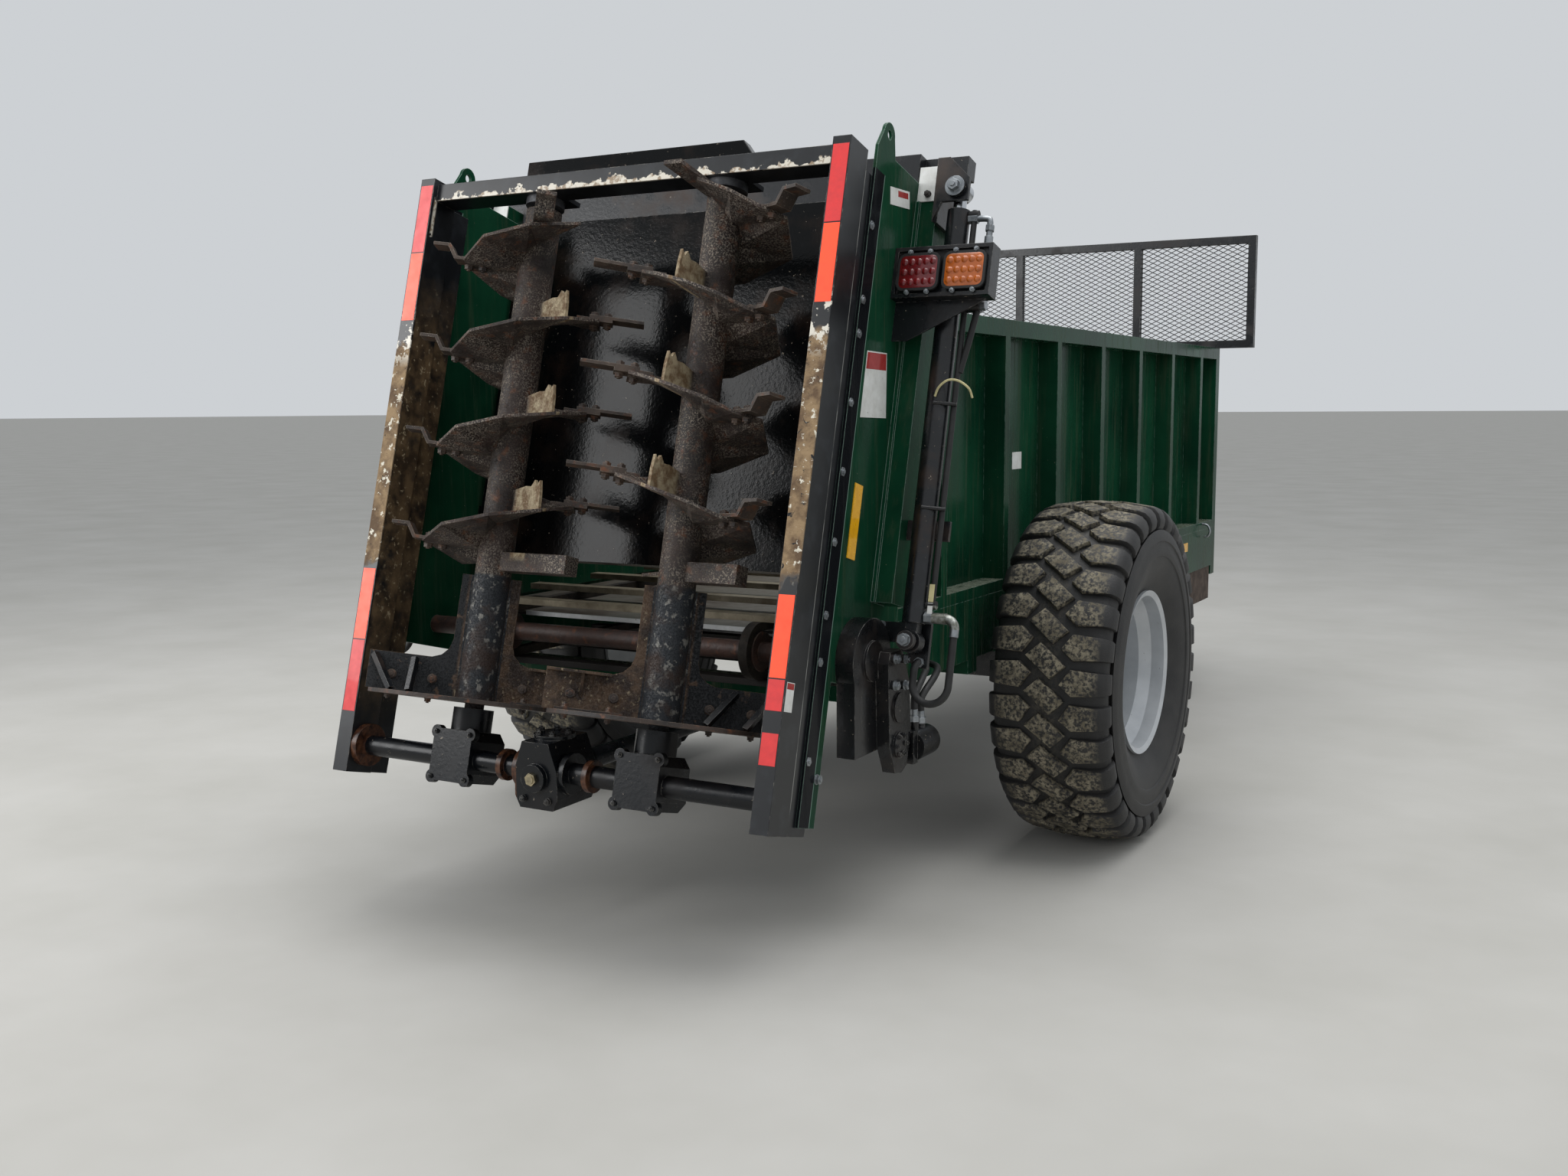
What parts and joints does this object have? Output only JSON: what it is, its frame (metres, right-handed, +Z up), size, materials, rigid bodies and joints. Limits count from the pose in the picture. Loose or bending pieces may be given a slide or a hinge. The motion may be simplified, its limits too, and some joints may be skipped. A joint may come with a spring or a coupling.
{
  "type": "manure spreader",
  "caption": "Single axle farm manure spreader with a ribbed load box, lifting rear gate, leaning frame with upright knife beaters and a towing eye.",
  "frame": {"origin": "on the ground under the middle of the bounding box", "axes": "+X to the machine's right, +Y forward to the towing eye, +Z up"},
  "size_m": [2.63, 6.3828, 2.485],
  "materials": {
    "green_paint": "worn gloss paint",
    "black_paint": "worn satin paint",
    "worn_grey_steel": "scuffed",
    "rusty_steel": "rusty",
    "bright_steel": "ground",
    "zinc_steel": "zinc plated",
    "chain_steel": "dirty",
    "slat_steel": "scoured",
    "mud_brown": "mud coated",
    "white_paint": "satin",
    "red_lens": "clear gloss",
    "amber_lens": "clear gloss",
    "yellow_reflector": "prismatic",
    "hose_rubber": "matte",
    "tyre_rubber": "muddy tread",
    "rim_paint": "satin silver"
  },
  "bodies": {
    "chassis": {"right_side_wall": "green_paint", "left_side_wall": "green_paint", "front_wall": "green_paint", "box_floor": "worn_grey_steel", "chassis_frame": "green_paint", "front_skirts": "mud_brown", "drawbar": "green_paint", "towing_eye": "worn_grey_steel", "parking_jack": "zinc_steel", "jack_leg": "zinc_steel", "axle_beam": "black_paint", "rear_frame": "black_paint", "side_plates": "green_paint", "guide_caps": "white_paint", "cylinder_barrels": "black_paint", "cylinder_brackets": "black_paint", "hydraulic_lines": "hose_rubber", "apron_gearbox": "black_paint", "apron_motor": "black_paint", "apron_shafts": "chain_steel", "apron_chains": "chain_steel", "apron_slats": "slat_steel", "beater_gearboxes": "black_paint", "beater_bearings": "worn_grey_steel", "shaft_bearings": "black_paint", "lamp_boxes": "black_paint", "tail_lamps": "red_lens", "indicator_lamps": "amber_lens", "side_reflectors": "yellow_reflector", "guard_frame": "black_paint", "guard_mesh": "black_paint"},
    "gate": {"gate_panel": "black_paint", "gate_beam": "black_paint", "cylinder_rods": "bright_steel"},
    "left_beater_body": {"left_beater": "rusty_steel", "left_knives": "rusty_steel", "left_disc": "rusty_steel"},
    "right_beater_body": {"right_beater": "rusty_steel", "right_knives": "rusty_steel", "right_disc": "rusty_steel"},
    "drive_shaft_body": {"drive_shaft": "black_paint"},
    "right_wheel": {"right_tyre": "tyre_rubber", "right_rim": "rim_paint"},
    "left_wheel": {"left_tyre": "tyre_rubber", "left_rim": "rim_paint"}
  },
  "joints": [
    {"name": "gate_slide", "type": "slide", "parent": "chassis", "child": "gate", "axis": [0, 0.2563, 0.9666], "range_m": [0, 0.95]},
    {"name": "left_beater_spin", "type": "hinge", "parent": "chassis", "child": "left_beater_body", "pos_m": [-0.345, -2.73888, 1.19265], "axis": [0, 0.2563, 0.9666], "continuous": true},
    {"name": "right_beater_spin", "type": "hinge", "parent": "chassis", "child": "right_beater_body", "pos_m": [0.345, -2.73888, 1.19265], "axis": [0, 0.2563, 0.9666], "continuous": true},
    {"name": "drive_shaft_spin", "type": "hinge", "parent": "chassis", "child": "drive_shaft_body", "pos_m": [0, -0.04058, 0.50637], "axis": [0, 1, 0], "continuous": true},
    {"name": "right_wheel_spin", "type": "hinge", "parent": "chassis", "child": "right_wheel", "pos_m": [1.095, -1.09058, 0.62], "axis": [1, 0, 0], "continuous": true},
    {"name": "left_wheel_spin", "type": "hinge", "parent": "chassis", "child": "left_wheel", "pos_m": [-1.095, -1.09058, 0.62], "axis": [1, 0, 0], "continuous": true}
  ],
  "couplings": [
    {"joint": "right_beater_spin", "follows": "left_beater_spin", "ratio": -1},
    {"joint": "drive_shaft_spin", "follows": "left_beater_spin", "ratio": 1}
  ]
}
